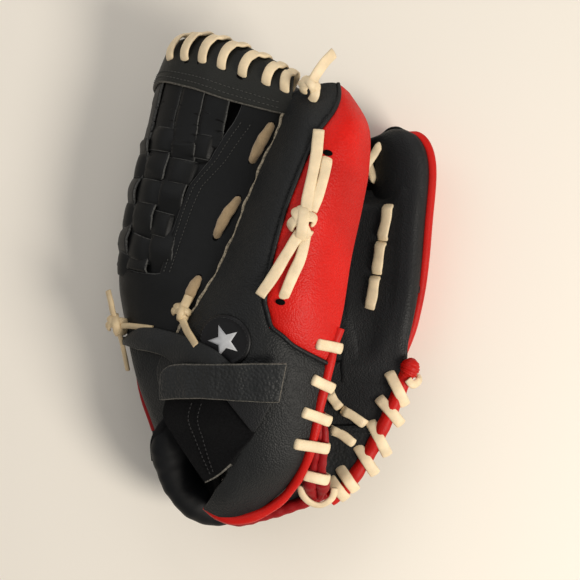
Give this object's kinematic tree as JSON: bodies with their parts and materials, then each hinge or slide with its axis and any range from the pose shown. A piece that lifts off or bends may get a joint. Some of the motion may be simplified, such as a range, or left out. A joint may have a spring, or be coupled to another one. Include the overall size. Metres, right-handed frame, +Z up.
{
  "type": "baseball glove",
  "caption": "Closed youth baseball glove for the left hand, with woven web, laced heel and thumb, finger stalls, and a hook-and-loop wrist strap.",
  "frame": {"origin": "middle of the base of the glove's bounding box, where the closed glove lies on its finger backs", "axes": "+Y from the wrist to the fingertips, +Z up through the closed glove from the finger side to the thumb side, +X towards the open side of the pocket"},
  "size_m": [0.1904, 0.288, 0.114],
  "materials": {
    "charcoal_leather": "pebbled, slightly glossy synthetic leather",
    "red_leather": "pebbled red synthetic leather",
    "dark_red_leather": "soft dark red binding",
    "black_leather": "smooth black leather with a soft sheen",
    "cream_lace": "smooth cream rawhide lace",
    "tan_lace": "suede side of a tan lace",
    "emblem_rubber": "flat black moulded patch",
    "loop_fabric": "fuzzy black hook-and-loop tape",
    "lining_cloth": "smooth black padded lining",
    "felt_padding": "pressed felt"
  },
  "bodies": {
    "fingers_side": {"palm_leather": "black_leather", "palm_patch": "charcoal_leather", "palm_pad": "felt_padding", "palm_lining": "lining_cloth", "palm_fold": "black_leather", "index_back": "charcoal_leather", "middle_back": "charcoal_leather", "ring_back": "charcoal_leather", "pinky_back": "red_leather", "finger_welt": "black_leather", "hand_back_panel": "charcoal_leather", "side_gusset": "charcoal_leather", "wrist_rim": "lining_cloth", "wrist_roll": "lining_cloth", "heel_binding": "dark_red_leather", "pinky_binding": "red_leather", "pinky_heel_lace": "cream_lace", "palm_lace": "cream_lace", "pinky_loop_lace": "cream_lace", "finger_lace": "cream_lace", "web_index_panel": "charcoal_leather", "web_weave": "charcoal_leather", "web_rail": "charcoal_leather", "rail_lace": "cream_lace", "side_knot": "tan_lace"},
    "thumb_side": {"thumb_back_panel": "charcoal_leather", "thumb_outer_panel": "red_leather", "thumb_piping": "black_leather", "thumb_front_leather": "black_leather", "thumb_pad": "felt_padding", "thumb_lining": "lining_cloth", "thumb_binding": "red_leather", "thumb_heel_lace": "cream_lace", "wrist_binding": "red_leather", "thumb_loop_lace": "cream_lace", "emblem_patch": "emblem_rubber", "web_thumb_panel": "charcoal_leather", "web_thumb_lace": "tan_lace", "tip_knot": "cream_lace", "strap_band": "charcoal_leather", "strap_flap": "black_leather", "strap_loop_panel": "loop_fabric"},
    "strap_tab": {"strap_tab": "charcoal_leather", "tab_hook_pad": "loop_fabric"}
  },
  "joints": [
    {"name": "pocket_hinge", "type": "hinge", "parent": "fingers_side", "child": "thumb_side", "pos_m": [-0.00395, -0.12152, 0.058], "axis": [0.2345, -0.9721, 0], "range_deg": [-4, 18], "deforming": ["web_weave", "web_rail", "rail_lace", "side_gusset", "palm_fold"]},
    {"name": "strap_peel", "type": "hinge", "parent": "thumb_side", "child": "strap_tab", "pos_m": [-0.05895, -0.05452, 0.0775], "axis": [0, -1, 0], "range_deg": [0, 100]}
  ]
}
